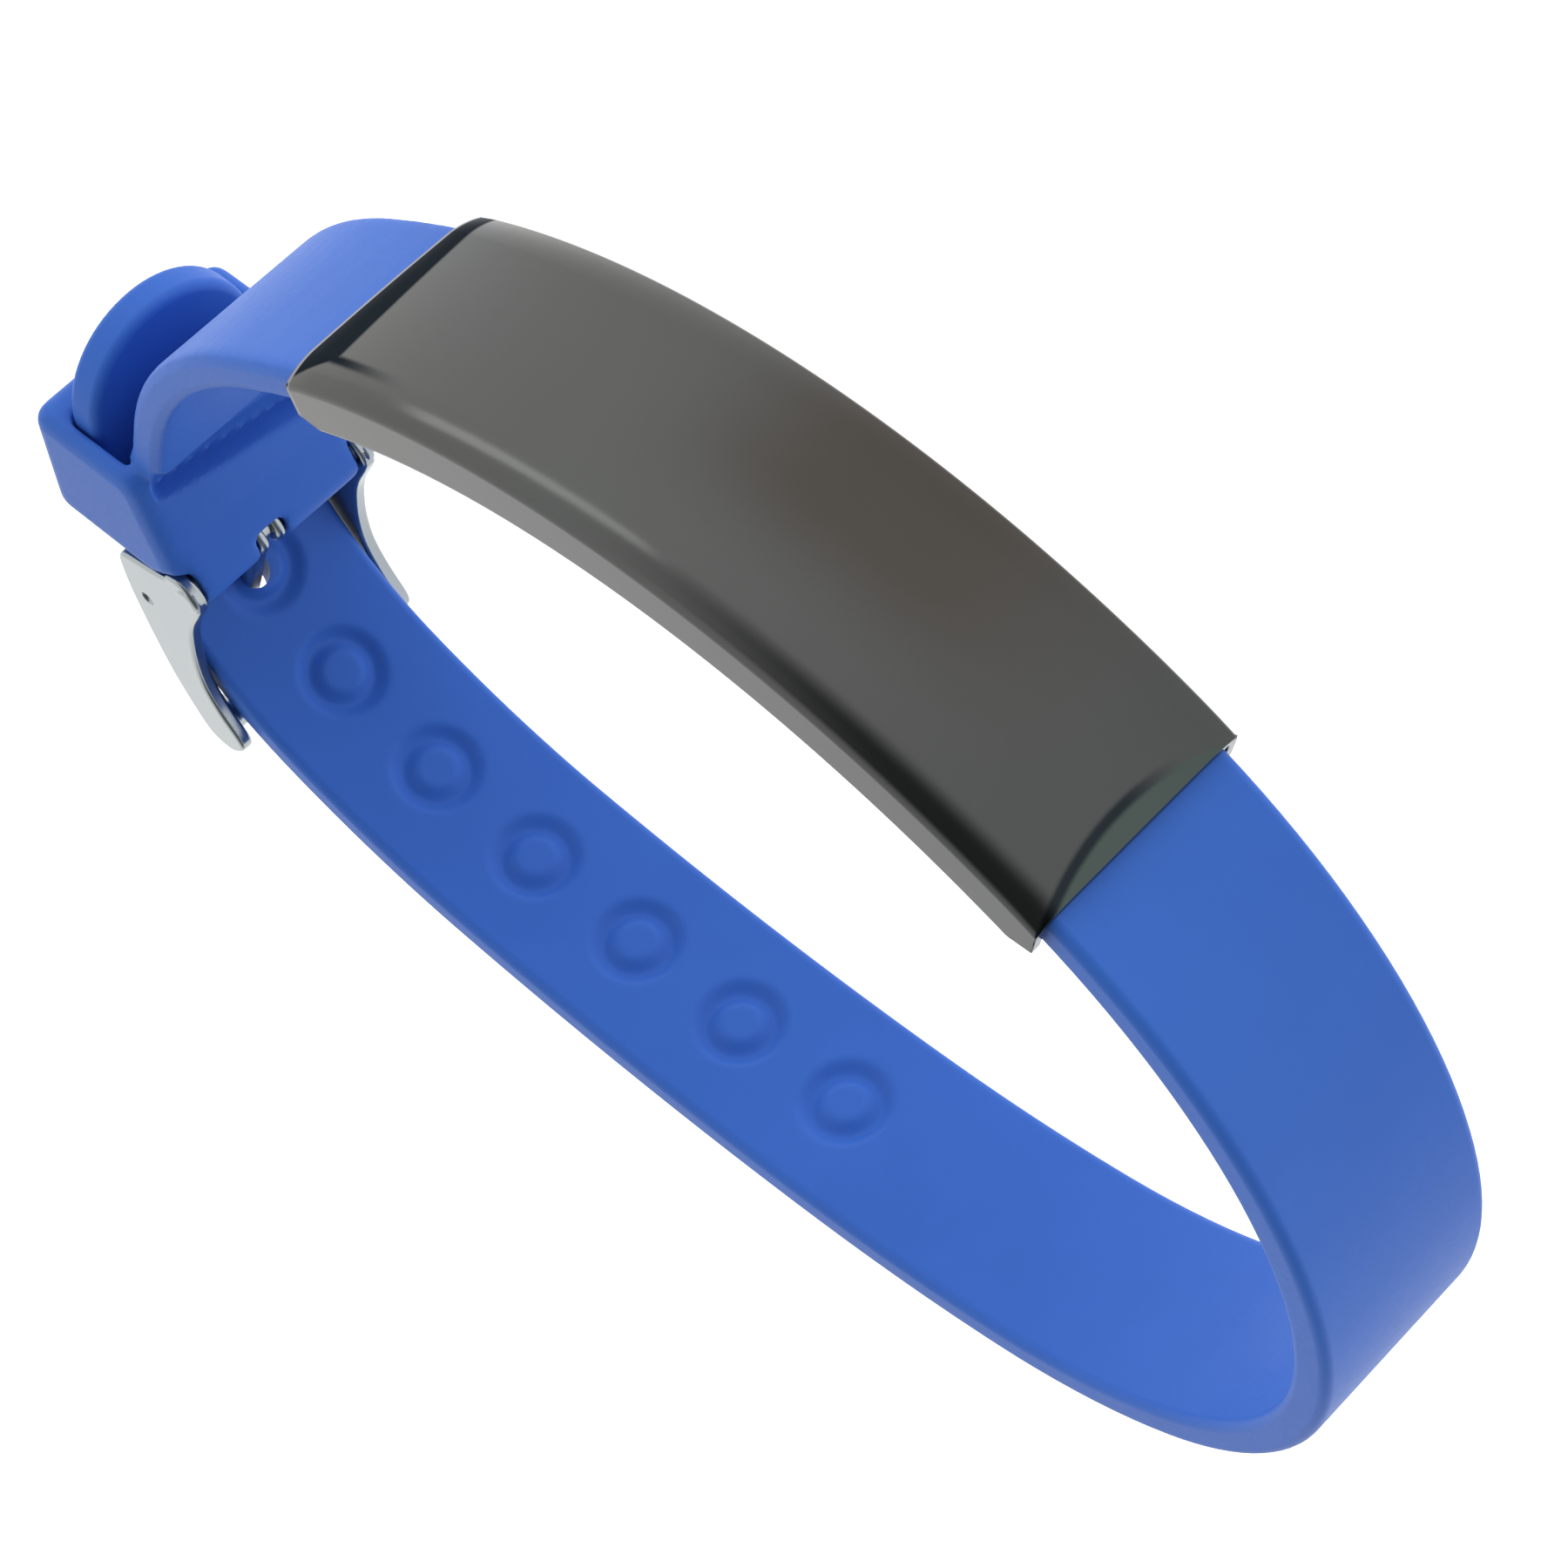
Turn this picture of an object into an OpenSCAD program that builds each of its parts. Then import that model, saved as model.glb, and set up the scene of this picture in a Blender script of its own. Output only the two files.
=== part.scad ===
/* [Strap] */
// Width of the strap
strap_w = 12; // [10:0.5:13]
// Thickness of the strap
strap_t = 2.3; // [2:0.1:2.6]
// Rounding of the strap's long edges
strap_edge_r = 0.6; // [0.3:0.1:0.9]
// Straight length of the free end between its last bend and its round tip
tail_len = 8.7; // [7:0.1:10]

/* [Adjusting holes] */
// Number of ring holes, the one that holds the tongue included
hole_count = 7; // [4:1:7]
// Distance between ring holes along the strap
hole_pitch = 8.45; // [7:0.05:9]
// Distance of the used hole from the end of the last bend
hole_to_bend_end = 9.2; // [8.5:0.1:10]
// Outer diameter of a ring
ring_outer_d = 5.4; // [5:0.1:6]
// Diameter of the island in a ring
ring_inner_d = 2.9; // [2.7:0.1:3.2]
// Depth of a ring
ring_depth = 0.6; // [0.4:0.1:0.9]
// Diameter of the hole that the tongue goes through
tongue_hole_d = 2.4; // [2.3:0.1:2.6]

/* [Steel plate] */
// Outer width of the plate
plate_w = 13.6; // [13.2:0.1:14]
// Reach of the plate to the right of its middle, measured straight
plate_right = 24.2; // [23:0.1:24.5]
// Reach of the plate to the left of its middle, measured straight
plate_left = 24.8; // [23:0.1:25]
// Sheet thickness of the plate
plate_t = 0.6; // [0.5:0.05:0.7]
// Bend radius of the strap under the plate, to the middle of the strap
plate_r = 50; // [45:1:60]
// Half of the bend angle of the strap under the plate
plate_half_angle = 28; // [26:0.5:29]
// Width of the bevel round the top of the plate
bevel_w = 1.3; // [0.8:0.1:1.6]
// Height of the bevel round the top of the plate
bevel_h = 0.4; // [0.2:0.05:0.5]
// How far the back lips reach in under the strap
lip_w = 1.6; // [1:0.1:2.5]

/* [Keeper block] */
// Width of the block across the strap
block_w = 14.4; // [14.2:0.1:15]
// Height of the block along the strap
block_h = 9.6; // [9:0.1:10]
// Thickness of the outer wall of the block at its top
wall_top = 1.7; // [1.5:0.1:2]
// Thickness of the outer wall of the block at its foot
wall_foot = 3.1; // [2.4:0.1:3.4]
// Thickness of the inner wall of the block at its foot
inner_wall_foot = 5.4; // [5.2:0.1:5.6]
// Rounding of the block's edges
block_edge_r = 1.1; // [0.7:0.1:1.3]
// Gap between the free end and the walls of the slot
slot_gap = 0.25; // [0.2:0.05:0.3]

/* [Buckle] */
// Diameter of the spring bar
bar_d = 1.5; // [1.3:0.1:1.6]
// Gap round the spring bar
bar_gap = 0.05; // [0.03:0.01:0.1]
// Sheet thickness of a buckle arm
arm_t = 0.9; // [0.7:0.05:0.95]
// Diameter of the cross bar
cross_d = 2.3; // [1.9:0.1:2.4]
// Width of the tongue
tongue_w = 1.8; // [1.6:0.1:2]
// Thickness of the tongue
tongue_t = 1.2; // [1:0.1:1.3]

/* [Hidden] */
$fn = 64;

// A bend is a row: radius to the middle of the strap, and the angle that it turns through.
RADIUS = 0;
TURN = 1;
// The long side leaves the right end of the plate, goes round the wrist and rises into the keeper.
long_side = [[28.5, 54], [25.5, 60], [36, 22], [76, 11], [134, 12], [41, 20], [18, 63]];
// The short side leaves the left end of the plate and falls into the keeper block.
short_side = [[80, 6], [32, 35], [60, 7]];
last_bend = len(long_side) - 1;
half_t = strap_t / 2;
half_w = strap_w / 2;
// Every other bend is slimmer by a hair, and its ends lie inside its neighbours.
joint_step = 0.01;
joint_overlap = 0.3;

// A place on a path is [x, y, heading].
X = 0;
Y = 1;
HEADING = 2;
function bend_centre(at, radius) = [at[X] + radius * sin(at[HEADING]), at[Y] - radius * cos(at[HEADING])];
function after_bend(at, bend) =
    let (centre = bend_centre(at, bend[RADIUS]), heading = at[HEADING] - bend[TURN])
    [centre[X] - bend[RADIUS] * sin(heading), centre[Y] + bend[RADIUS] * cos(heading), heading];
function place_at(path, count) =
    count == 0 ? plate_end : after_bend(place_at(path, count - 1), path[count - 1]);
// The place on the long side a given length before its end, looked for from bend i backwards.
function place_before_end(back, i) =
    let (radius = long_side[i][RADIUS], turn = long_side[i][TURN], length = radius * turn * PI / 180)
    back <= length
        ? after_bend(place_at(long_side, i), [radius, turn * (1 - back / length)])
        : place_before_end(back - length, i - 1);

// Both sides are laid out to the right of the plate's middle, and the short one is mirrored.
plate_end = after_bend([0, 0, 0], [plate_r, plate_half_angle]);
long_end = place_at(long_side, len(long_side));
last_bend_r = long_side[last_bend][RADIUS];
last_bend_centre = bend_centre(place_at(long_side, last_bend), last_bend_r);

// The slot runs straight up round the free end, and opens at the top as far as the short side.
slot_x = long_end[X];
slot_half_t = half_t + slot_gap;
slot_half_w = half_w + slot_gap;
slot_wall_x = slot_x + slot_half_t;
block_foot = long_end[Y] - 0.5;
block_top = block_foot + block_h;
mouth_x = slot_wall_x + 2.6;
mouth_depth = [0.8, 3.6];
outer_top_x = slot_x - slot_half_t - wall_top;
outer_foot_x = slot_x - slot_half_t - wall_foot;
wrist_foot_x = slot_wall_x + inner_wall_foot;
wrist_top_x = wrist_foot_x - 1.6;

// Spring bar and the lug round it, at the foot of the block on the wrist side.
bar_x = wrist_foot_x - 0.85;
bar_y = block_foot - 0.35;
lug_r = 1.4;
notch_half_w = tongue_w / 2 + 0.15;
barrel_r = 1.35;
notch_r = barrel_r + 0.2;
knuckle_r = 1.6;
knuckle_gap = 0.25;

// The arms stand outside the strap's edges and inside the width of the block.
arm_in = half_w + 0.2;
arm_out = arm_in + arm_t;

// The cross bar lies outside the strap, at an angle round the last bend's centre.
cross_angle = 229;
cross_gap = 0.4;
cross_r = last_bend_r + half_t + cross_gap + cross_d / 2;
cross_x = last_bend_centre[X] + cross_r * cos(cross_angle);
cross_y = last_bend_centre[Y] + cross_r * sin(cross_angle);

// The tongue crosses the strap in a straight line and bends down over the cross bar.
crossing_angle = 210.9;
crossing = last_bend_centre + last_bend_r * [cos(crossing_angle), sin(crossing_angle)];
tongue_dir = atan2(crossing[Y] - bar_y, crossing[X] - bar_x);
tongue_straight = 13.1;
tongue_knee = [bar_x, bar_y] + tongue_straight * [cos(tongue_dir), sin(tongue_dir)];
tip_gap = 0.35;
tip_r = cross_r + cross_d / 2 + tongue_t / 2 + tip_gap;
tip_angle = cross_angle + 1;
tongue_tip = last_bend_centre + tip_r * [cos(tip_angle), sin(tip_angle)];

// The plate is a sleeve: top sheet, two flanges, and back lips under the strap.
sleeve_gap = 0.1;
plate_top = half_t + sleeve_gap + plate_t;
plate_back = -plate_top;
plate_sweep = plate_half_angle + 2.5;
end_lean = 14;
end_bevel_len = 1.2;
corner_cut = [2, 1.2];
beyond = 30;

// The whole part is centred over its base and stands on the block's far side.
right_bend = 1;
low_bend = 4;
right_x = bend_centre(place_at(long_side, right_bend), long_side[right_bend][RADIUS])[X]
    + long_side[right_bend][RADIUS] + half_t;
low_y = bend_centre(place_at(long_side, low_bend), long_side[low_bend][RADIUS])[Y]
    - long_side[low_bend][RADIUS] - half_t;
to_base = [-(right_x + outer_foot_x) / 2, -(low_y + plate_top) / 2, block_w / 2];

module rounded_rect(wide, tall, radius) {
    square([wide - 2 * radius, tall], center = true);
    square([wide, tall - 2 * radius], center = true);
    for (sx = [-1, 1], sy = [-1, 1])
        translate([sx * (wide / 2 - radius), sy * (tall / 2 - radius)]) circle(r = radius);
}

module strap_section(step = 0) {
    rounded_rect(strap_t - 2 * step, strap_w - 2 * step, strap_edge_r);
}

// One bend of a section that is drawn with +X away from the middle of the loop.
module bend(at, radius, turn, over = 0) {
    centre = bend_centre(at, radius);
    translate([centre[X], centre[Y], 0]) rotate([0, 0, at[HEADING] + 90 - turn - over])
        rotate_extrude(angle = turn + 2 * over) translate([radius, 0]) children();
}

module strap_side(path) {
    for (i = [0 : len(path) - 1]) {
        slim = i % 2 == 0;
        radius = path[i][RADIUS];
        over = slim ? joint_overlap / radius * 180 / PI : 0;
        bend(place_at(path, i), radius, path[i][TURN], over) strap_section(slim ? joint_step : 0);
    }
}

// The free end: straight through the keeper, then half a disc with the strap's rounded edge.
module free_end() {
    translate([long_end[X], long_end[Y] + tail_len, 0]) {
        rotate([90, 0, 0]) linear_extrude(tail_len) strap_section();
        rotate([0, 90, 0]) rotate_extrude(angle = 180) intersection() {
            rotate([0, 0, 90]) strap_section();
            translate([0, -strap_t]) square([strap_w, 2 * strap_t]);
        }
    }
}

// Everything on the +X side of a leaning wall with rounded upright edges.
module behind_wall(foot_x, top_x) {
    deep = 30;
    translate([foot_x, block_foot, 0]) rotate([0, 0, atan2(foot_x - top_x, block_h)]) rotate([90, 0, 0])
        linear_extrude(3 * block_h, center = true) translate([deep / 2, 0]) rounded_rect(deep, block_w, block_edge_r);
}

module block_body() {
    intersection() {
        behind_wall(outer_foot_x, outer_top_x);
        mirror([1, 0, 0]) behind_wall(-wrist_foot_x, -wrist_top_x);
        translate([outer_foot_x - 5, block_foot + block_h / 2, 0]) rotate([90, 0, 90])
            linear_extrude(20) rounded_rect(block_h, block_w, block_edge_r);
    }
}

module keeper_slot() {
    translate([0, 0, -slot_half_w]) linear_extrude(2 * slot_half_w)
        polygon([[slot_x - slot_half_t, block_foot - 1], [slot_wall_x, block_foot - 1],
                 [slot_wall_x, block_top - mouth_depth[1]], [mouth_x, block_top - mouth_depth[0]],
                 [mouth_x, block_top + 1], [slot_x - slot_half_t, block_top + 1]]);
}

module lug() {
    translate([0, 0, -half_w]) linear_extrude(strap_w) {
        translate([bar_x, bar_y]) circle(r = lug_r);
        polygon([[bar_x, bar_y], [bar_x - lug_r * cos(50), bar_y - lug_r * sin(50)],
                 [bar_x - 3.5, block_foot + 1], [bar_x - 0.5, block_foot + 3.4],
                 [wrist_foot_x - 0.6, block_foot + 3.4], [bar_x + lug_r * cos(8), bar_y + lug_r * sin(8)]]);
    }
}

module tongue_notch() {
    translate([0, 0, -notch_half_w]) linear_extrude(2 * notch_half_w) {
        translate([bar_x, bar_y]) circle(r = notch_r);
        translate([bar_x, bar_y]) rotate([0, 0, tongue_dir]) translate([0, -notch_r]) square([5, 2 * notch_r]);
    }
}

// Room in the foot of the block for the round ends of the arms.
module knuckle_room() {
    for (side = [0, 1]) mirror([0, 0, side]) translate([bar_x, bar_y, half_w])
        cylinder(h = block_w, r = knuckle_r + knuckle_gap);
}

module keeper() {
    difference() {
        block_body();
        keeper_slot();
        knuckle_room();
    }
    lug();
}

module ring_recess(back) {
    at = place_before_end(back, last_bend);
    translate([at[X], at[Y], 0]) rotate([0, 0, at[HEADING]]) rotate([90, 0, 0])
        translate([0, 0, half_t - ring_depth]) difference() {
            cylinder(h = ring_depth + 1, d = ring_outer_d);
            translate([0, 0, -1]) cylinder(h = ring_depth + 3, d = ring_inner_d);
        }
}

module tongue_hole() {
    translate([bar_x, bar_y, 0]) rotate([0, 0, tongue_dir]) rotate([0, 90, 0])
        translate([0, 0, 5]) cylinder(h = 9, d = tongue_hole_d);
}

module silicone_band() {
    color([0.22, 0.39, 0.75]) translate(to_base) difference() {
        union() {
            bend([-plate_end[X], plate_end[Y], plate_half_angle], plate_r, 2 * plate_half_angle) strap_section();
            strap_side(long_side);
            mirror([1, 0, 0]) strap_side(short_side);
            free_end();
            keeper();
        }
        for (i = [0 : hole_count - 1]) ring_recess(hole_to_bend_end + i * hole_pitch);
        tongue_hole();
        tongue_notch();
        translate([bar_x, bar_y, -half_w - 1]) cylinder(h = strap_w + 2, d = bar_d + 2 * bar_gap);
    }
}

module plate_section() {
    half = plate_w / 2;
    inner_half = half - plate_t;
    lip = inner_half - lip_w;
    polygon([[plate_back, half], [plate_top - bevel_h, half], [plate_top, half - bevel_w],
             [plate_top, -half + bevel_w], [plate_top - bevel_h, -half], [plate_back, -half],
             [plate_back, -lip], [plate_back + plate_t, -lip], [plate_back + plate_t, -inner_half],
             [plate_top - plate_t, -inner_half], [plate_top - plate_t, inner_half],
             [plate_back + plate_t, inner_half], [plate_back + plate_t, lip], [plate_back, lip]]);
}

// Cutters for an end on the right: the leaning end face, the bevel on top and the corner below.
module plate_end_cuts(end_x) {
    top_angle = asin(end_x / (plate_r + plate_top));
    end_y = (plate_r + plate_top) * cos(top_angle) - plate_r;
    tall = plate_top - plate_back;
    translate([end_x, end_y, -beyond / 2]) {
        rotate([0, 0, -end_lean]) translate([0, -beyond / 2, 0]) cube(beyond);
        rotate([0, 0, -top_angle]) translate([-end_bevel_len, 0, 0])
            rotate([0, 0, -atan2(bevel_h, end_bevel_len)]) translate([-0.5, 0, 0]) cube(beyond);
        rotate([0, 0, -end_lean]) translate([0, -tall / cos(end_lean), 0]) rotate([0, 0, end_lean - top_angle])
            translate([-corner_cut[0], 0, 0]) rotate([0, 0, atan2(corner_cut[1], corner_cut[0])])
                translate([-beyond / 2, -beyond, 0]) cube(beyond);
    }
}

module id_plate() {
    color([0.36, 0.36, 0.37]) translate(to_base) difference() {
        bend([-plate_r * sin(plate_sweep), plate_r * (cos(plate_sweep) - 1), plate_sweep], plate_r, 2 * plate_sweep)
            plate_section();
        plate_end_cuts(plate_right);
        mirror([1, 0, 0]) plate_end_cuts(plate_left);
    }
}

// Side view of an arm, from the spring bar down to the cross bar.
module arm_outline() {
    foot_r = cross_d / 2 + 0.75;
    foot_x = cross_x - bar_x + 0.4;
    foot_y = cross_y - bar_y;
    outer_x = -5.6;
    top_y = 0.1;
    corner_r = 0.9;
    translate([bar_x, bar_y]) {
        circle(r = knuckle_r);
        translate([foot_x, foot_y]) circle(r = foot_r);
        translate([outer_x + corner_r, top_y - corner_r]) circle(r = corner_r);
        polygon([[outer_x + corner_r, top_y], [0, top_y], [knuckle_r * cos(15), -knuckle_r * sin(15)], [0.1, -3.2],
                 [-0.6, -5.3], [-1.1, -8], [-1.1, -10.5], [-0.4, -12.6],
                 [foot_x + foot_r * cos(20), foot_y + foot_r * sin(20)], [foot_x, foot_y],
                 [foot_x - foot_r * cos(18), foot_y + foot_r * sin(18)],
                 [-4.1, -12.4], [-4.75, -9.8], [-5.25, -6.8], [outer_x, -3.8], [outer_x, top_y - corner_r],
                 [outer_x + corner_r, top_y - corner_r]]);
    }
}

module buckle_frame() {
    color([0.8, 0.82, 0.82]) translate(to_base) difference() {
        union() {
            for (side = [0, 1]) mirror([0, 0, side]) translate([0, 0, arm_in]) linear_extrude(arm_t) arm_outline();
            translate([cross_x, cross_y, -arm_out]) cylinder(h = 2 * arm_out, d = cross_d);
        }
        translate([bar_x, bar_y, -arm_out - 1]) cylinder(h = 2 * arm_out + 2, d = bar_d + 2 * bar_gap);
        for (side = [-1, 1])
            translate([bar_x - 3.9, bar_y - 3.6, side * arm_out]) cylinder(h = 0.6, d = 1, center = true);
    }
}

// Bar of the tongue's thickness between two points, with round ends.
module stroke(from, to) {
    run = to - from;
    translate(from) circle(d = tongue_t);
    translate(to) circle(d = tongue_t);
    translate(from) rotate([0, 0, atan2(run[Y], run[X])])
        translate([0, -tongue_t / 2]) square([norm(run), tongue_t]);
}

module buckle_tongue() {
    color([0.78, 0.78, 0.79]) translate(to_base) difference() {
        translate([0, 0, -tongue_w / 2]) linear_extrude(tongue_w) {
            translate([bar_x, bar_y]) circle(r = barrel_r);
            stroke([bar_x, bar_y], tongue_knee);
            stroke(tongue_knee, tongue_tip);
        }
        translate([bar_x, bar_y, -tongue_w]) cylinder(h = 2 * tongue_w, d = bar_d + 2 * bar_gap);
    }
}

module spring_bar() {
    color([0.75, 0.76, 0.77]) translate(to_base)
        translate([bar_x, bar_y, -arm_out]) cylinder(h = 2 * arm_out, d = bar_d);
}

silicone_band();
id_plate();
buckle_frame();
buckle_tongue();
spring_bar();
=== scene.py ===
"""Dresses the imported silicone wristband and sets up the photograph's view of it."""

import logging
import math
from collections.abc import Callable, Iterator, Sequence
from contextlib import contextmanager
from dataclasses import dataclass
from enum import Enum

import bmesh
import bpy
from mathutils import Matrix, Vector


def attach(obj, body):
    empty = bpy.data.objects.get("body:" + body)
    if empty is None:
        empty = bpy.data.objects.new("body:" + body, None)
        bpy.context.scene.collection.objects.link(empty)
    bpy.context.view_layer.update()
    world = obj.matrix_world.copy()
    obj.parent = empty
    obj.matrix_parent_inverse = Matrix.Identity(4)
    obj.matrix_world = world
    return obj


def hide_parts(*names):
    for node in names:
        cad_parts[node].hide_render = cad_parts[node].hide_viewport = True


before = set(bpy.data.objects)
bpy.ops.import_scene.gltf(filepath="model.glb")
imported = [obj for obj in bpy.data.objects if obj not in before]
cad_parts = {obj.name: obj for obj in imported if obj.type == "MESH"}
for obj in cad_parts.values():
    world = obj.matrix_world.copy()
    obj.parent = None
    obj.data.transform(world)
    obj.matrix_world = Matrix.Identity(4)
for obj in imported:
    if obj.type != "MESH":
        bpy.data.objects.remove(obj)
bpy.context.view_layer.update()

MM = 0.001
# In mm: doubles within WELD merge, places within SAME_PLACE are one, and cutters reach PAST a piece.
WELD = 0.002
SAME_PLACE = 0.01
PAST = 1.0
Point = tuple[float, float]
Triple = tuple[float, float, float]
# An arc's first and last angle in degrees, and its number of steps.
Sweep = tuple[float, float, int]

log = logging.getLogger("wristband")


class Element(Enum):
    """What an edit-mode selection holds."""

    VERTEX = "VERT"
    EDGE = "EDGE"


class Operation(Enum):
    """How a piece is combined with another."""

    UNION = "UNION"
    DIFFERENCE = "DIFFERENCE"


class Slot(Enum):
    """The material slots."""

    BLUE_SILICONE = "blue_silicone"
    DARK_STEEL = "dark_steel"
    POLISHED_STEEL = "polished_steel"


@dataclass(frozen=True)
class Bend:
    """An arc of the strap: its radius to the middle line in mm, and the angle it turns in degrees."""

    radius: float
    turn: float


@dataclass(frozen=True)
class Place:
    """A place on the strap's middle line in mm, and the heading there in degrees."""

    x: float
    y: float
    heading: float

    def centre(self, radius: float) -> Point:
        """Return the middle of a clockwise bend that starts here."""
        angle = math.radians(self.heading)
        return self.x + radius * math.sin(angle), self.y - radius * math.cos(angle)

    def after(self, *bends: Bend) -> "Place":
        """Return the place at the end of clockwise bends that start here.

        Args:
            bends: The bends in order.

        Returns:
            The place.
        """
        place = self
        for bend in bends:
            x, y = place.centre(bend.radius)
            heading = place.heading - bend.turn
            angle = math.radians(heading)
            place = Place(x - bend.radius * math.sin(angle), y + bend.radius * math.cos(angle), heading)
        return place


def polar(radius: float, degrees: float, middle: Point = (0.0, 0.0)) -> Point:
    """Return the point at a radius and an angle round a middle."""
    angle = math.radians(degrees)
    return middle[0] + radius * math.cos(angle), middle[1] + radius * math.sin(angle)


def arc(middle: Point, radius: float, start: float, end: float, steps: int) -> list[Point]:
    """Return the points of an arc.

    Args:
        middle: Its middle.
        radius: Its radius.
        start: The angle of its first point, in degrees.
        end: The angle of its last point.
        steps: How many steps it takes.

    Returns:
        The points, both ends included.
    """
    return [polar(radius, start + (end - start) * step / steps, middle) for step in range(steps + 1)]


def shifted(points: Sequence[Point], shift: Point) -> list[Point]:
    """Return points moved by a shift."""
    return [(x + shift[0], y + shift[1]) for x, y in points]


def smooth_step(low: float, high: float, value: float) -> float:
    """Return a value's soft rise from 0 to 1 between two limits."""
    part = min(max((value - low) / (high - low), 0.0), 1.0)
    return part * part * (3 - 2 * part)


@dataclass(frozen=True)
class Layout:
    """Driving sizes of the wristband in mm, round the middle of the plate, and the places that follow."""

    strap_w: float = 12.0
    strap_t: float = 2.3
    strap_edge_r: float = 0.6
    plate_bend: Bend = Bend(50, 28)
    long_side: tuple[Bend, ...] = (
        Bend(28.5, 54), Bend(25.5, 60), Bend(36, 22), Bend(76, 11), Bend(134, 12), Bend(41, 20),
        Bend(18, 63),
    )
    short_side: tuple[Bend, ...] = (Bend(80, 6), Bend(32, 35), Bend(60, 7))
    tail_len: float = 8.7
    hole_count: int = 7
    hole_pitch: float = 8.45
    hole_to_bend_end: float = 9.2
    block_w: float = 14.4
    block_h: float = 9.6
    end_in_block: float = 0.5
    wall_top: float = 2.2
    wall_foot: float = 3.1
    inner_wall_foot: float = 5.4
    wrist_lean: float = 1.6
    slot_gap: float = 0.25
    sleeve_gap: float = 0.1
    plate_t: float = 0.6
    bar_d: float = 1.5
    bar_gap: float = 0.05
    bar_inset: Point = (0.85, 0.35)
    arm_gap: float = 0.2
    arm_t: float = 0.9
    cross_d: float = 2.3
    cross_angle: float = 229.0
    cross_gap: float = 0.4
    crossing_angle: float = 210.9

    @property
    def half_t(self) -> float:
        """Return half of the strap's thickness."""
        return self.strap_t / 2

    @property
    def half_w(self) -> float:
        """Return half of the strap's width."""
        return self.strap_w / 2

    @property
    def plate_end(self) -> Place:
        """Return the place at the right end of the bend under the plate."""
        return Place(0, 0, 0).after(self.plate_bend)

    def long_place(self, count: int) -> Place:
        """Return the place on the long side after its first bends."""
        return self.plate_end.after(*self.long_side[:count])

    def before_end(self, back: float) -> Place:
        """Return a place on the long side before the end of its last bend.

        Args:
            back: The length from that end back to the place.

        Returns:
            The place.
        """
        for index in range(len(self.long_side) - 1, -1, -1):
            bend = self.long_side[index]
            length = bend.radius * math.radians(bend.turn)
            if back <= length:
                return self.long_place(index).after(Bend(bend.radius, bend.turn * (1 - back / length)))
            back -= length
        raise ValueError("the length is more than the long side has")

    @property
    def long_end(self) -> Place:
        """Return the place at the end of the last bend, where the free end starts."""
        return self.long_place(len(self.long_side))

    @property
    def last_bend(self) -> Bend:
        """Return the bend under the buckle."""
        return self.long_side[-1]

    @property
    def last_centre(self) -> Point:
        """Return the middle of the bend under the buckle."""
        return self.long_place(len(self.long_side) - 1).centre(self.last_bend.radius)

    @property
    def slot_half_t(self) -> float:
        """Return half of the keeper slot's thickness."""
        return self.half_t + self.slot_gap

    @property
    def slot_wall_x(self) -> float:
        """Return the slot's wall on the wrist side."""
        return self.long_end.x + self.slot_half_t

    @property
    def block_foot(self) -> float:
        """Return the keeper's foot along the strap."""
        return self.long_end.y - self.end_in_block

    @property
    def block_top(self) -> float:
        """Return the keeper's top along the strap."""
        return self.block_foot + self.block_h

    @property
    def wrist_foot_x(self) -> float:
        """Return the keeper's wrist face at its foot."""
        return self.slot_wall_x + self.inner_wall_foot

    @property
    def bar(self) -> Point:
        """Return the middle of the spring bar."""
        return self.wrist_foot_x - self.bar_inset[0], self.block_foot - self.bar_inset[1]

    @property
    def bore_r(self) -> float:
        """Return the radius of the holes for the spring bar."""
        return self.bar_d / 2 + self.bar_gap

    @property
    def arm_in(self) -> float:
        """Return an arm's inner face across the strap."""
        return self.half_w + self.arm_gap

    @property
    def arm_out(self) -> float:
        """Return an arm's outer face across the strap."""
        return self.arm_in + self.arm_t

    @property
    def cross_bar(self) -> Point:
        """Return the middle of the cross bar."""
        radius = self.last_bend.radius + self.half_t + self.cross_gap + self.cross_d / 2
        return polar(radius, self.cross_angle, self.last_centre)

    @property
    def tongue_heading(self) -> float:
        """Return the tongue's direction from the spring bar, in degrees."""
        crossing = polar(self.last_bend.radius, self.crossing_angle, self.last_centre)
        return math.degrees(math.atan2(crossing[1] - self.bar[1], crossing[0] - self.bar[0]))

    @property
    def plate_top(self) -> float:
        """Return the plate's outer face above the strap's middle line."""
        return self.half_t + self.sleeve_gap + self.plate_t

    @property
    def to_base(self) -> Vector:
        """Return the shift from the plate's middle to the middle of the part's base.

        Returns:
            The shift, from the bends that reach furthest right and furthest from the plate.
        """
        right, low = self.long_side[1], self.long_side[4]
        right_x = self.long_place(1).centre(right.radius)[0] + right.radius + self.half_t
        low_y = self.long_place(4).centre(low.radius)[1] - low.radius - self.half_t
        outer_foot_x = self.long_end.x - self.slot_half_t - self.wall_foot
        return Vector((-(right_x + outer_foot_x) / 2, -(low_y + self.plate_top) / 2, self.block_w / 2))


LAYOUT = Layout()


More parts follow.
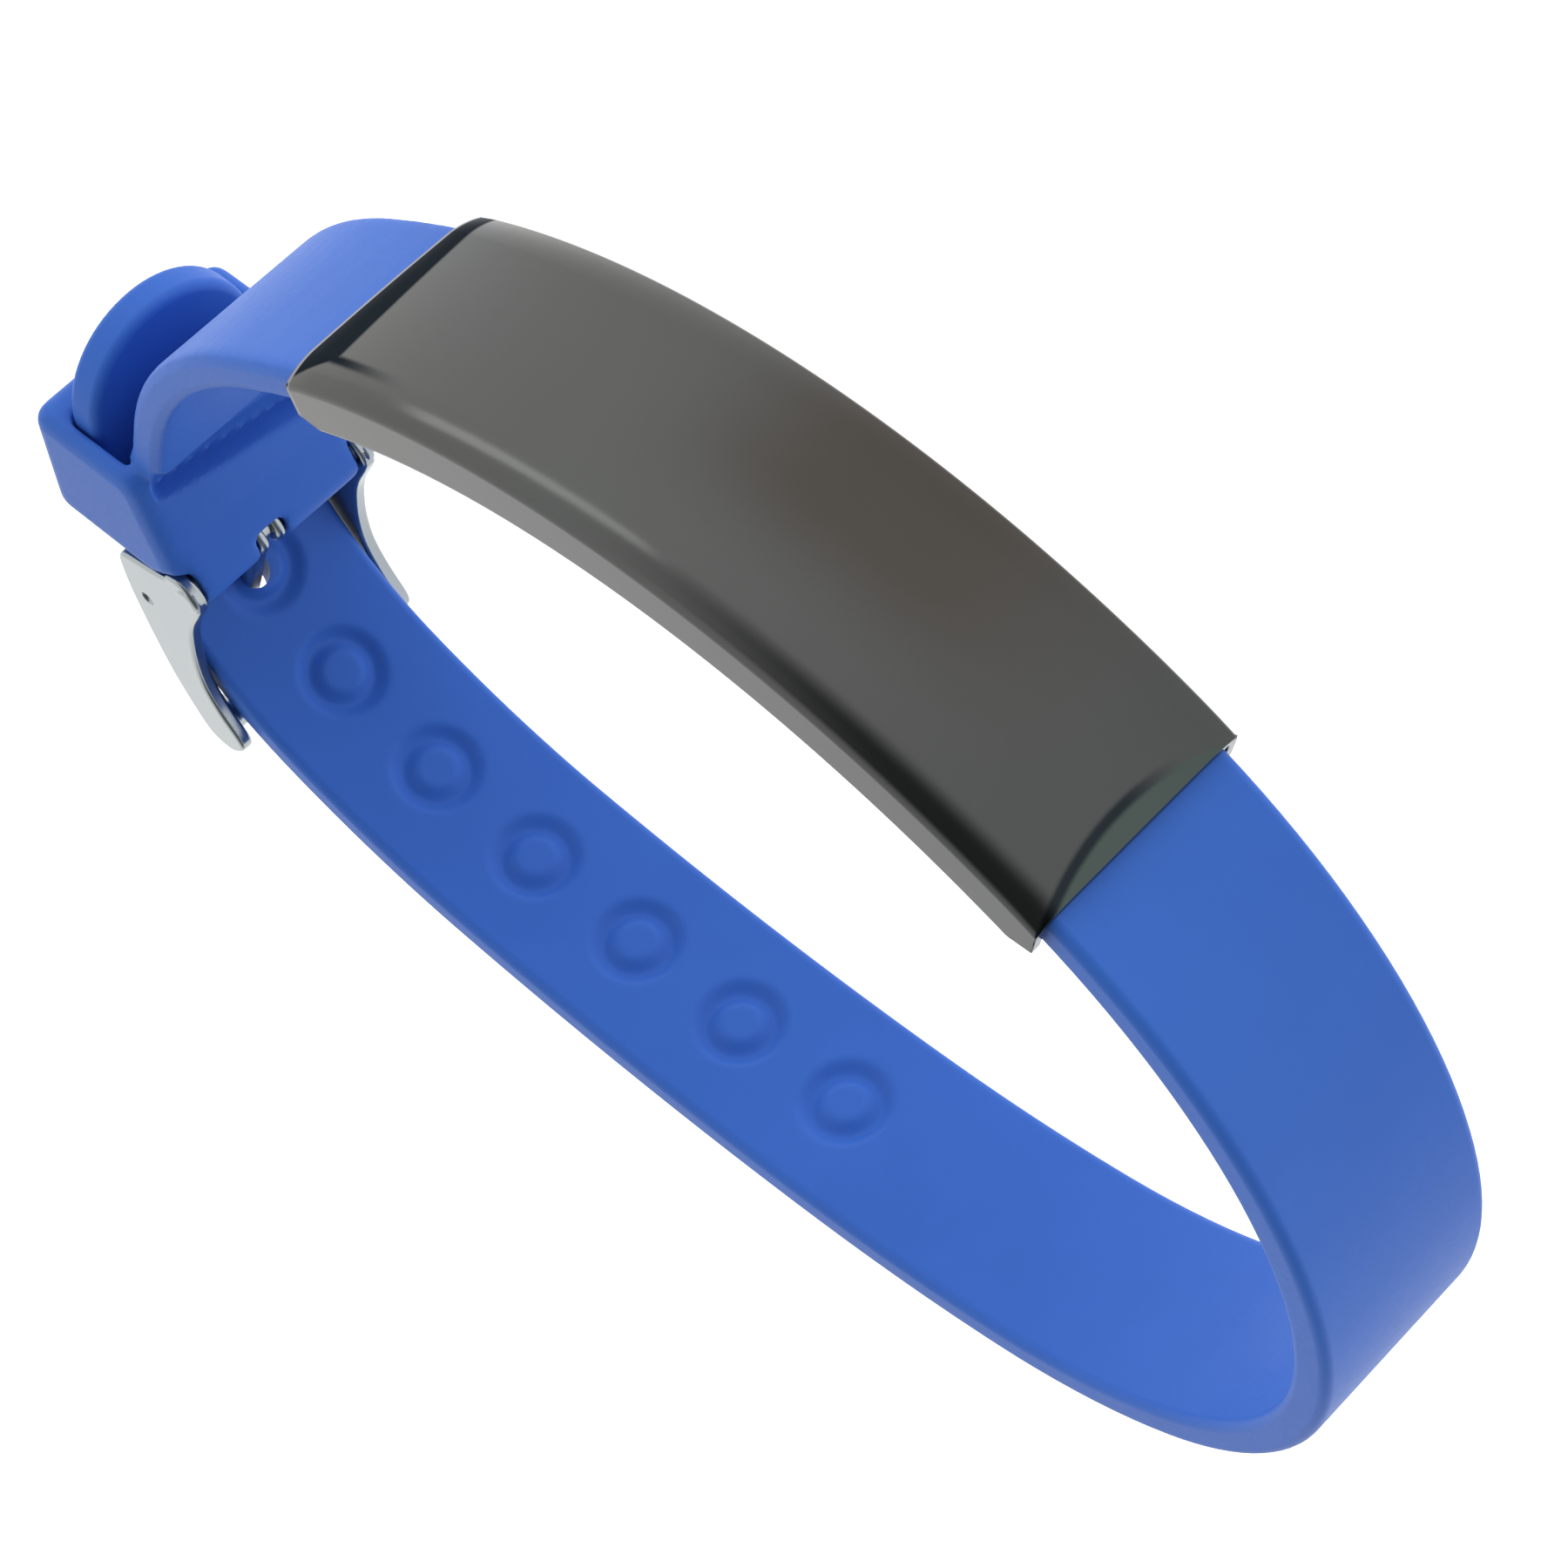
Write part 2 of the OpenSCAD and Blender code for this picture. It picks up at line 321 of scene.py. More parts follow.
class Work:
    """A mesh on the bench, in mm round the plate's middle, until it is set down as a finished piece."""

    def __init__(self, name: str, primitive: Callable[..., set[str]], **settings: object) -> None:
        """Add a primitive as the start of a piece.

        Args:
            name: The piece's name.
            primitive: The bpy.ops call that adds it.
            settings: The call's own settings.
        """
        bpy.ops.object.select_all(action="DESELECT")
        primitive(**settings)
        self.thing: bpy.types.Object = bpy.context.active_object
        self.thing.name = name
        self.thing.data.name = name
        bpy.ops.object.transform_apply(location=True, rotation=True, scale=True)

    def hold(self) -> None:
        """Make the piece the only selected one and the active one."""
        bpy.ops.object.select_all(action="DESELECT")
        self.thing.select_set(True)
        bpy.context.view_layer.objects.active = self.thing

    @contextmanager
    def editing(self) -> Iterator[None]:
        """Open the piece in edit mode with all of it selected, and close it again.

        Yields:
            Nothing.
        """
        self.hold()
        bpy.ops.object.mode_set(mode="EDIT")
        bpy.ops.mesh.select_mode(type=Element.VERTEX.value)
        bpy.ops.mesh.select_all(action="SELECT")
        yield
        bpy.ops.object.mode_set(mode="OBJECT")

    def pick(self, element: Element, wanted: Callable[[Vector], bool]) -> None:
        """Select, in edit mode, the vertices or edges whose middle passes a test.

        Args:
            element: Vertices or edges.
            wanted: The test.
        """
        bpy.ops.mesh.select_mode(type=element.value)
        bpy.ops.mesh.select_all(action="DESELECT")
        mesh = bmesh.from_edit_mesh(self.thing.data)
        if element is Element.VERTEX:
            found = [(vert, vert.co) for vert in mesh.verts]
        else:
            found = [(edge, (edge.verts[0].co + edge.verts[1].co) / 2) for edge in mesh.edges]
        for item, middle in found:
            item.select = wanted(middle)
        mesh.select_flush_mode()
        bmesh.update_edit_mesh(self.thing.data)

    @staticmethod
    def extrude(shift: Sequence[float]) -> None:
        """Extrude what is selected in edit mode."""
        bpy.ops.mesh.extrude_region_move(TRANSFORM_OT_translate={"value": shift})

    @staticmethod
    def spin(steps: int, degrees: float, centre: Point) -> None:
        """Spin what is selected in edit mode clockwise round an axis across the strap."""
        bpy.ops.mesh.spin(steps=steps, angle=math.radians(degrees), center=(*centre, 0), axis=(0, 0, 1))

    @staticmethod
    def face_outwards() -> None:
        """Turn all faces outwards, in edit mode."""
        bpy.ops.mesh.select_all(action="SELECT")
        bpy.ops.mesh.normals_make_consistent(inside=False)

    def weld(self) -> None:
        """Merge doubles and turn all faces outwards."""
        with self.editing():
            bpy.ops.mesh.remove_doubles(threshold=WELD)
            self.face_outwards()

    def move_points(self, moved: Callable[[Vector], Vector]) -> None:
        """Move every vertex.

        Args:
            moved: The function that gives a vertex its new place.
        """
        for vert in self.thing.data.vertices:
            vert.co = moved(vert.co.copy())
        self.thing.data.update()

    def to_tongue(self) -> None:
        """Bring a piece that lies along X to the spring bar, and turn it to the tongue's heading."""
        turn = Matrix.Rotation(math.radians(LAYOUT.tongue_heading), 3, "Z")
        seat = Vector((*LAYOUT.bar, 0))
        self.move_points(lambda spot: turn @ spot + seat)

    def modify(self, kind: str, **settings: object) -> None:
        """Add a modifier and apply it.

        Args:
            kind: The modifier's type.
            settings: Its settings.
        """
        self.hold()
        modifier = self.thing.modifiers.new(kind.lower(), kind)
        for name, value in settings.items():
            setattr(modifier, name, value)
        bpy.ops.object.modifier_apply(modifier=modifier.name)

    def round_edges(self, width: float, segments: int, degrees: float = 60.0, clamp: bool = True) -> None:
        """Bevel the edges that are sharper than an angle.

        Args:
            width: The bevel's width.
            segments: Its number of steps.
            degrees: The angle.
            clamp: Whether short edges may narrow the bevel.
        """
        self.modify(
            "BEVEL", width=width, segments=segments, limit_method="ANGLE",
            angle_limit=math.radians(degrees), use_clamp_overlap=clamp,
        )

    def combine(self, operation: Operation, *others: "Work") -> None:
        """Unite with, or cut by, other pieces in turn, which are used up.

        Args:
            operation: What is done.
            others: The other pieces.
        """
        for other in others:
            self.modify("BOOLEAN", object=other.thing, operation=operation.value, solver="EXACT")
            mesh = other.thing.data
            bpy.data.objects.remove(other.thing)
            bpy.data.meshes.remove(mesh)

    def join(self, other: "Work") -> None:
        """Take another piece's mesh into this one's.

        Args:
            other: The other piece.
        """
        self.hold()
        other.thing.select_set(True)
        bpy.ops.object.join()

    def mirror(self, axis: int) -> None:
        """Mirror the piece through the plate's middle.

        Args:
            axis: The number of the axis that is turned round.
        """
        scale = [1.0, 1.0, 1.0]
        scale[axis] = -1.0
        with self.editing():
            bpy.ops.transform.resize(value=scale, center_override=(0, 0, 0))
            self.face_outwards()

    def smooth(self, degrees: float = 40.0) -> None:
        """Shade smooth except across edges sharper than an angle."""
        self.hold()
        bpy.ops.object.shade_smooth_by_angle(angle=math.radians(degrees))

    def even_normals(self, weight: int = 60) -> None:
        """Let the large faces lead the shading."""
        self.modify("WEIGHTED_NORMAL", keep_sharp=True, weight=weight)

    def set_down(self, slot: Slot, material: bpy.types.Material, *nodes: str) -> None:
        """Put the finished piece in its place in metres, dress it, and let it stand for its CAD nodes.

        Args:
            slot: Not used.
            material: The finish.
            nodes: The CAD nodes that the piece stands for.
        """
        with self.editing():
            bpy.ops.transform.translate(value=LAYOUT.to_base)
            bpy.ops.transform.resize(value=(MM, MM, MM), center_override=(0, 0, 0))
        self.thing.data.materials.clear()
        self.thing.data.materials.append(material)
        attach(self.thing, "root")
        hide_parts(*nodes)
        self.thing.data.calc_loop_triangles()
        log.info("%s: %d triangles", self.thing.name, len(self.thing.data.loop_triangles))


def section(name: str, size: Point, edge_r: float, segments: int) -> Work:
    """Build the flat section of a strip that is to run along X.

    Args:
        name: The piece's name.
        size: The strip's thickness and width.
        edge_r: The radius of its edges.
        segments: The number of steps of an edge.

    Returns:
        The section.
    """
    work = Work(name, bpy.ops.mesh.primitive_plane_add, size=1, rotation=(0, math.pi / 2, 0))
    with work.editing():
        bpy.ops.transform.resize(value=(1, *size))
        bpy.ops.mesh.bevel(offset=edge_r, segments=segments, affect="VERTICES")
    return work


def outline_solid(name: str, points: Sequence[Point], low: float, high: float) -> Work:
    """Build a flat plate of an outline in the plane of the loop.

    Args:
        name: The piece's name.
        points: The outline, anticlockwise, in mm.
        low: Its lower face across the strap.
        high: Its upper face.

    Returns:
        The plate.
    """
    work = Work(name, bpy.ops.mesh.primitive_circle_add, vertices=len(points), radius=1, fill_type="NGON")
    for vert, (x, y) in zip(work.thing.data.vertices, points, strict=True):
        vert.co = (x, y, low)
    with work.editing():
        work.extrude((0, 0, high - low))
        work.face_outwards()
    return work


def rod(name: str, middle: Point, radius: float, low: float, high: float, sides: int = 48) -> Work:
    """Build a straight rod across the strap.

    Args:
        name: The piece's name.
        middle: Its axis in the plane of the loop.
        radius: Its radius.
        low: Its lower end.
        high: Its upper end.
        sides: Its number of sides.

    Returns:
        The rod.
    """
    return Work(
        name, bpy.ops.mesh.primitive_cylinder_add, vertices=sides, radius=radius, depth=high - low,
        location=(middle[0], middle[1], (low + high) / 2),
    )


def eased(points: Sequence[Point], steps: int = 5) -> list[Point]:
    """Return a smooth closed curve through the corners of an outline.

    Args:
        points: The corners in order.
        steps: How many points each stretch gets.

    Returns:
        The points of the curve.
    """
    curve: list[Point] = []
    count = len(points)
    for index in range(count):
        before, start, end, after = (Vector(points[(index + step) % count]) for step in (-1, 0, 1, 2))
        for step in range(steps):
            t = step / steps
            place = 0.5 * (
                2 * start + (end - before) * t + (2 * before - 5 * start + 4 * end - after) * t**2
                + (3 * start - before - 3 * end + after) * t**3
            )
            curve.append((place.x, place.y))
    return curve


@dataclass(frozen=True)
class Grain:
    """A noise over a finish: its scale per metre, its detail, and how much it adds to the roughness."""

    scale: float
    detail: float
    rough: float = 0.0


Number = "float | Wire"


class Wire:
    """A shader socket, with the operators that its maths needs."""

    def __init__(self, recipe: "Recipe", socket: bpy.types.NodeSocket) -> None:
        """Wrap a socket of a recipe."""
        self.recipe = recipe
        self.socket = socket

    def maths(self, operation: str, first: Number, second: Number) -> "Wire":
        """Return the result of a Math node on two numbers or wires."""
        return self.recipe.node("ShaderNodeMath", {"operation": operation}, {0: first, 1: second})

    def __add__(self, other: Number) -> "Wire":
        """Return the sum."""
        return self.maths("ADD", self, other)

    __radd__ = __add__

    def __mul__(self, other: Number) -> "Wire":
        """Return the product."""
        return self.maths("MULTIPLY", self, other)

    __rmul__ = __mul__

    def __sub__(self, other: Number) -> "Wire":
        """Return the difference."""
        return self.maths("SUBTRACT", self, other)

    def __rsub__(self, other: Number) -> "Wire":
        """Return what is left of a number."""
        return self.maths("SUBTRACT", other, self)

    def larger(self, other: Number) -> "Wire":
        """Return the larger of two."""
        return self.maths("MAXIMUM", self, other)

    def absolute(self) -> "Wire":
        """Return the size without its sign."""
        return self.maths("ABSOLUTE", self, 0.0)

    def part(self, name: str) -> "Wire":
        """Return another output of the same node."""
        return Wire(self.recipe, self.socket.node.outputs[name])


class Recipe:
    """The nodes of one finish or of the sky, with their coordinates."""

    def __init__(self, owner: bpy.types.Material | bpy.types.World) -> None:
        """Clear the owner's nodes and start with its coordinates.

        Args:
            owner: The material or the world.
        """
        owner.use_nodes = True
        self.owner = owner
        self.tree = owner.node_tree
        self.tree.nodes.clear()
        self.place = self.node("ShaderNodeTexCoord", {}, {}).part("Object")

    @classmethod
    def of_material(cls, name: str) -> "Recipe":
        """Return the recipe of a new material."""
        return cls(bpy.data.materials.new(name))

    def node(
        self, kind: str, settings: dict[str, object], inputs: dict[str | int, object],
        output: int | str = 0,
    ) -> Wire:
        """Add a node.

        Args:
            kind: The node's type.
            settings: Its own settings.
            inputs: Values or wires by socket name or number.
            output: The output that is wanted.

        Returns:
            The wire of that output.
        """
        made = self.tree.nodes.new(kind)
        for name, value in settings.items():
            setattr(made, name, value)
        for name, value in inputs.items():
            socket = made.inputs[name]
            if isinstance(value, Wire):
                self.tree.links.new(value.socket, socket)
            else:
                socket.default_value = value
        return Wire(self, made.outputs[output])

    def noise(self, grain: Grain, vector: Wire | None = None) -> Wire:
        """Return a noise over the piece."""
        inputs = {"Vector": vector or self.place, "Scale": grain.scale, "Detail": grain.detail}
        return self.node("ShaderNodeTexNoise", {}, inputs)

    def stretched(self, scale: Triple) -> Wire:
        """Return the piece's coordinates scaled by an amount along each axis."""
        return self.node("ShaderNodeMapping", {}, {"Vector": self.place, "Scale": scale})

    def apart(self, vector: Wire) -> tuple[Wire, Wire, Wire]:
        """Return the three numbers of a vector."""
        parts = self.node("ShaderNodeSeparateXYZ", {}, {0: vector})
        return parts.part("X"), parts.part("Y"), parts.part("Z")

    def along(self, direction: Triple) -> Wire:
        """Return how far the coordinates reach along a direction."""
        inputs = {0: self.place, 1: direction}
        return self.node("ShaderNodeVectorMath", {"operation": "DOT_PRODUCT"}, inputs, output="Value")

    def step(self, value: Wire, low: Number, high: Number) -> Wire:
        """Return a soft rise from 0 at one limit to 1 at the other."""
        inputs = {"Value": value, "From Min": low, "From Max": high}
        return self.node("ShaderNodeMapRange", {"interpolation_type": "SMOOTHSTEP"}, inputs)

    def blend(self, amount: Number, first: Sequence[float] | Wire, second: Sequence[float] | Wire) -> Wire:
        """Return a mix of two colours.

        Args:
            amount: How much of the second one is in it.
            first: The first colour.
            second: The second colour.

        Returns:
            The mixed colour.
        """
        ends = [colour if isinstance(colour, Wire) else (*colour, 1) for colour in (first, second)]
        inputs = {"Factor": amount, 6: ends[0], 7: ends[1]}
        return self.node("ShaderNodeMix", {"data_type": "RGBA"}, inputs, output=2)

    def bump(self, height: Wire, strength: float, distance: float) -> Wire:
        """Return a normal that a height bumps."""
        inputs: dict[str | int, object] = {"Height": height, "Strength": strength, "Distance": distance}
        return self.node("ShaderNodeBump", {}, inputs)

    def principled(self, inputs: dict[str | int, object]) -> Wire:
        """Return a surface with the given sockets."""
        return self.node("ShaderNodeBsdfPrincipled", {}, inputs)

    def shade(self, surface: Wire) -> bpy.types.Material:
        """Close a material's nodes with its surface and return the material."""
        self.close("ShaderNodeOutputMaterial", surface)
        return self.owner

    def close(self, kind: str, surface: Wire) -> None:
        """Lead a shader to the output node."""
        made = self.tree.nodes.new(kind)
        self.tree.links.new(surface.socket, made.inputs["Surface"])


@dataclass(frozen=True)
class SatinSilicone:
    """Moulded blue silicone: satin, a little uneven in tone, with a fine skin."""

    deep: Triple = (0.036, 0.124, 0.490)
    pale: Triple = (0.046, 0.155, 0.580)
    roughness: float = 0.45
    ior: float = 1.22
    cloud: Grain = Grain(90.0, 3.0, 0.1)
    skin: Grain = Grain(2600.0, 2.0, 0.12)
    skin_bump: Point = (0.25, 0.00002)

    def material(self) -> bpy.types.Material:
        """Mix the silicone.

        Returns:
            The material.
        """
        recipe = Recipe.of_material("satin_silicone")
        cloud, skin = recipe.noise(self.cloud), recipe.noise(self.skin)
        uneven = (skin - 0.5) * self.skin.rough + (cloud - 0.5) * self.cloud.rough
        return recipe.shade(recipe.principled({
            "Base Color": recipe.blend(cloud, self.deep, self.pale),
            "Roughness": self.roughness + uneven,
            "IOR": self.ior,
            "Normal": recipe.bump(skin, *self.skin_bump),
        }))


@dataclass(frozen=True)
class DarkSteel:
    """Dark polished plating with hairlines and a change of tint, and painted reflections: a black band on
    the rolled left end with a dark line along its shoulder, a green sheen and a thin dark edge on the
    rolled right end, a pale painted highlight on the left end's rim, and painted shade that darkens the
    top towards the right, with a warmer, darker patch right of the middle.

    A pair whose name ends in w, run or up holds the limits of a soft step in mm. The rolls and the mitre
    are lines on the plate, each given by its start and its slope.
    """

    warm: Triple = (0.094, 0.087, 0.082)
    cool: Triple = (0.082, 0.088, 0.086)
    # painted shade: the plate's top turns to this darker colour towards the right end
    dim: Triple = (0.062, 0.064, 0.063)
    brown: Triple = (0.060, 0.054, 0.048)
    # painted black for the dark reflections: the band on the left end and the thin edge on the right end
    deep: Triple = (0.008, 0.013, 0.018)
    # painted greenish reflection on the rolled right end
    green: Triple = (0.054, 0.070, 0.064)
    # painted pale highlight along the rim of the left end
    rim_highlight: Triple = (0.22, 0.20, 0.20)
    roughness: float = 0.12
    rim_rough: float = 0.15
    # low reflectance of the painted black reflection band on the left end
    dark_ior: float = 1.04
    tint: Grain = Grain(45.0, 1.0)
    smudge: Grain = Grain(140.0, 2.0, 0.05)
    hairline: Grain = Grain(260.0, 4.0, 0.04)
    hairline_stretch: Triple = (3.0, 3.0, 40.0)
    hairline_bump: Point = (0.03, 0.00001)
    left_roll: Point = (2.3, 0.09)
    left_soft: float = 0.3
    right_roll: Point = (1.3, -0.032)
    right_soft: float = 0.2
    mitre: Point = (6.6, -0.63)
    mitre_soft: float = 0.25
    # limits of a painted dark reflection line along the shoulder by the left end
    line_w: Point = (0.45, 0.1)
    line_run: Point = (8.5, 2.5)
    middle_run: Point = (-1.0, 1.0)
    # strength of a painted thin dark edge reflection on the rolled right end
    dark_edge_reflection: float = 0.85
    brink_w: Point = (0.4, 0.1)
    brink_up: Point = (-4.0, 0.0)
    rim_w: Point = (0.28, 0.2)
    dim_run: Point = (-8.0, 24.0)
    brown_middle: float = 7.0
    brown_run: Point = (14.0, 2.0)
    brown_up: Point = (4.0, -2.0)

    def material(self, plate: "IdPlate") -> bpy.types.Material:
        """Mix the finish of a plate.

        Args:
            plate: The plate whose ends are rolled.

        Returns:
            The material.
        """
        recipe = Recipe.of_material("dark_steel")
        tint, smudge = recipe.noise(self.tint), recipe.noise(self.smudge)
        hairline = recipe.noise(self.hairline, recipe.stretched(self.hairline_stretch))
        parts = zip(recipe.apart(recipe.place), LAYOUT.to_base, strict=True)
        across, rise, up = (part * (1 / MM) - middle for part, middle in parts)
        right = recipe.step(across, *self.middle_run)
        left = 1 - right
        lean = math.radians(plate.end_lean)
        reach = plate.left_reach + right * (plate.right_reach - plate.left_reach)
        height = plate.end_top(1).y
        inside = (reach - across.absolute()) * math.cos(lean) + (rise - height) * math.sin(lean)
        left_roll = self.left_roll[0] + up * self.left_roll[1]
        right_roll = self.right_roll[0] + up * up * self.right_roll[1]
        mitre = self.mitre[0] + inside * self.mitre[1]
        # painted highlight on the left end's rim, which is also a little rougher
        rim = recipe.step(inside, *self.rim_w) * left
        # painted black reflection band on the rolled left end
        dark = recipe.step(inside, left_roll, left_roll - self.left_soft) * left
        dark = dark * recipe.step(up, mitre, mitre - self.mitre_soft)
        # painted dark reflection line along the shoulder at the left end
        corner = recipe.step((up - self.mitre[0] - left_roll * self.mitre[1]).absolute(), *self.line_w)
        line = corner * recipe.step(inside, *self.line_run) * left
        # painted greenish reflection on the rolled right end
        green = recipe.step(inside, right_roll, right_roll - self.right_soft) * right
        # painted thin dark edge reflection on the rolled right end
        dark_edge_reflection = recipe.step((inside - right_roll).absolute(), *self.brink_w) * right
        dark_edge_reflection = dark_edge_reflection * recipe.step(up, *self.brink_up)
        tinted = recipe.blend(tint, self.warm, self.cool)
        # painted shade: the top darker towards the right end
        field = recipe.blend(recipe.step(across, *self.dim_run), tinted, self.dim)
        browned = recipe.step((across - self.brown_middle).absolute(), *self.brown_run)
        field = recipe.blend(browned * recipe.step(up, *self.brown_up), field, self.brown)
        edged = recipe.blend(dark_edge_reflection * self.dark_edge_reflection, recipe.blend(green, field, self.green), self.deep)
        worn = hairline * self.hairline.rough + smudge * self.smudge.rough + rim * self.rim_rough
        sheet = recipe.principled({
            "Base Color": recipe.blend(rim, edged, self.rim_highlight),
            "Metallic": 1.0,
            "Roughness": self.roughness + worn,
            "Normal": recipe.bump(hairline, *self.hairline_bump),
        })
        # the shader of the painted black reflection band and of the painted dark line
        painted_black_reflection = recipe.principled({
            "Base Color": (*self.deep, 1), "Roughness": self.roughness, "IOR": self.dark_ior,
        })
        mask = dark.larger(line) * (1 - rim)
        return recipe.shade(recipe.node("ShaderNodeMixShader", {}, {0: mask, 1: sheet, 2: painted_black_reflection}))


@dataclass(frozen=True)
class PolishedSteel:
    """Bright polished steel with soft handling marks."""

    base: Triple = (0.36, 0.39, 0.40)
    worn: Triple = (0.32, 0.35, 0.36)
    roughness: float = 0.16
    marks: Grain = Grain(700.0, 4.0, 0.06)
    marks_bump: Point = (0.04, 0.00001)
    wear: Grain = Grain(180.0, 2.0, 0.05)

    def material(self) -> bpy.types.Material:
        """Mix the buckle's steel.

        Returns:
            The material.
        """
        recipe = Recipe.of_material("polished_steel")
        marks, wear = recipe.noise(self.marks), recipe.noise(self.wear)
        return recipe.shade(recipe.principled({
            "Base Color": recipe.blend(wear, self.worn, self.base),
            "Metallic": 1.0,
            "Roughness": self.roughness + marks * self.marks.rough + wear * self.wear.rough,
            "Normal": recipe.bump(marks, *self.marks_bump),
        }))


@dataclass
class SiliconeBand:
    """The strap with its ring holes and free end, and the keeper block moulded on its short side."""

    finish: SatinSilicone
    degrees_a_step: float = 2.5
    fine_step: float = 0.22
    fine_from: int = 4
    edge_segments: int = 6
    flat_cuts: int = 5
    tip_steps: int = 36
    smooth_angle: float = 35.0
    ring_r: float = 2.02
    groove_half_w: float = 0.98
    ring_depth: float = 0.5
    ring_skin: float = 0.8
    tongue_hole: Point = (0.95, 0.45)
    tongue_hole_run: Point = (5.0, 14.0)
    tongue_hole_sides: int = 48
    block_edge_r: float = 1.1
    block_edge_steps: int = 5
    mouth_reach: float = 2.6
    mouth_depth: Point = (0.8, 3.6)
    lug_r: float = 1.4
    lug_arc: Sweep = (230.0, 374.0, 12)
    lug_top: tuple[Point, ...] = ((0.25, 3.75), (-0.5, 3.75), (-3.5, 1.35))
    barrel_room_r: float = 1.45
    notch_half_w: float = 1.05
    notch_middle: float = 0.75
    notch_reach: float = 5.0
    knuckle_room_r: float = 1.85
    crease_up: float = 6.8
    crease_end: float = 8.0
    crease_slant: float = 0.2
    crease_depth: float = 1.3
    crease_skin: float = 1.2
    crease_reach: Point = (0.4, 2.3)
    crease_fade: Point = (-0.6, 0.2)
    wall_gap: float = 0.12
    joint_reach: float = 0.8
    joint_slim: float = 0.012
    joint_narrow: float = 0.2
    joint_run: Point = (-2.5, -0.5)
    voxel: float = 0.24
    smoothing: float = 0.5
    smooth_rounds: int = 8

    def build(self) -> None:
        """Build the band and set it down."""
        strap = self.long_strap()
        for index in range(LAYOUT.hole_count):
            self.press_ring(strap, LAYOUT.hole_to_bend_end + index * LAYOUT.hole_pitch)
        strap.combine(Operation.DIFFERENCE, self.tongue_hole_cutter())
        strap.join(self.keeper())
        strap.smooth(self.smooth_angle)
        strap.even_normals()
        strap.set_down(Slot.BLUE_SILICONE, self.finish.material(), "silicone_band")

    def swept(self, name: str, bends: Sequence[Bend], inner_cuts: int) -> Work:
        """Spin the strap's section along bends that start at the plate's middle.

        Args:
            name: The piece's name.
            bends: The bends in order.
            inner_cuts: How many times the wrist's side of the section is cut.

        Returns:
            The strap with its last section selected and both ends open.
        """
        work = section(name, (LAYOUT.strap_t, LAYOUT.strap_w), LAYOUT.strap_edge_r, self.edge_segments)
        with work.editing():
            bpy.ops.mesh.delete(type="ONLY_FACE")
            for wanted, cuts in (
                (lambda middle: abs(middle.z) < SAME_PLACE and middle.y < 0, inner_cuts),
                (lambda middle: abs(middle.z) < SAME_PLACE and middle.y > 0, self.flat_cuts),
                (lambda middle: abs(middle.y) < SAME_PLACE, 1),
            ):
                work.pick(Element.EDGE, wanted)
                bpy.ops.mesh.subdivide(number_cuts=cuts)
            bpy.ops.mesh.select_all(action="SELECT")
            place = Place(0, 0, 0)
            for index, bend in enumerate(bends):
                steps = bend.turn / self.degrees_a_step
                if index >= self.fine_from:
                    steps = bend.radius * math.radians(bend.turn) / self.fine_step
                work.spin(math.ceil(steps), bend.turn, place.centre(bend.radius))
                place = place.after(bend)
        return work

    def long_strap(self) -> Work:
        """Build the long side of the strap up to its round free end.

        Returns:
            The long side, open at the plate's middle but for its end face.
        """
        inner_cuts = 2 * round((LAYOUT.strap_w - 2 * LAYOUT.strap_edge_r) / self.fine_step / 2) - 1
        work = self.swept("silicone_strap", (LAYOUT.plate_bend, *LAYOUT.long_side), inner_cuts)
        end = LAYOUT.long_end
        tip_y = end.y + LAYOUT.tail_len

        def at_free_end(spot: Vector, height: float) -> bool:
            """Return whether a point stands in the free end at a height or above it."""
            return spot.y > height - SAME_PLACE and spot.x < end.x + LAYOUT.strap_t

        with work.editing():
            work.pick(Element.VERTEX, lambda spot: at_free_end(spot, end.y))
            work.extrude((0, LAYOUT.tail_len, 0))
            work.pick(Element.VERTEX, lambda spot: at_free_end(spot, tip_y) and spot.z > -SAME_PLACE)
            middle = (end.x, tip_y, 0)
            bpy.ops.mesh.spin(steps=self.tip_steps, angle=math.pi, center=middle, axis=(1, 0, 0))
            bpy.ops.mesh.select_all(action="SELECT")
            bpy.ops.mesh.remove_doubles(threshold=WELD)
            work.pick(Element.EDGE, lambda middle: abs(middle.x) < SAME_PLACE)
            bpy.ops.mesh.edge_face_add()
        work.weld()
        return work

    def press_ring(self, strap: Work, back: float) -> None:
        """Press one soft ring into the strap's wrist side.

        Args:
            strap: The strap.
            back: The ring's place, as a length back from the end of the last bend.
        """
        place = LAYOUT.before_end(back)
        along = Vector((*polar(1, place.heading), 0))
        inward = Vector((along.y, -along.x, 0))
        seat = Vector((place.x, place.y, 0)) + inward * LAYOUT.half_t

        def pressed(spot: Vector) -> Vector:
            """Push a point of the wrist side in where it lies in the ring.

            Args:
                spot: The point.

            Returns:
                Its new place.
            """
            away = spot - seat
            off = abs(math.hypot(away.dot(along), away.z) - self.ring_r) / self.groove_half_w
            if off >= 1 or abs(away.dot(inward)) > self.ring_skin:
                return spot
            return spot - inward * self.ring_depth * (0.5 + 0.5 * math.cos(math.pi * off))

        strap.move_points(pressed)

    def tongue_hole_cutter(self) -> Work:
        """Build the cutter of the hole that the tongue goes through.

        Returns:
            The cutter.
        """
        radius, off = self.tongue_hole
        near, far = self.tongue_hole_run
        work = Work(
            "tongue_hole_cutter", bpy.ops.mesh.primitive_cylinder_add, vertices=self.tongue_hole_sides,
            radius=radius, depth=far - near, rotation=(0, math.pi / 2, 0),
            location=((near + far) / 2, 0, off),
        )
        work.to_tongue()
        return work

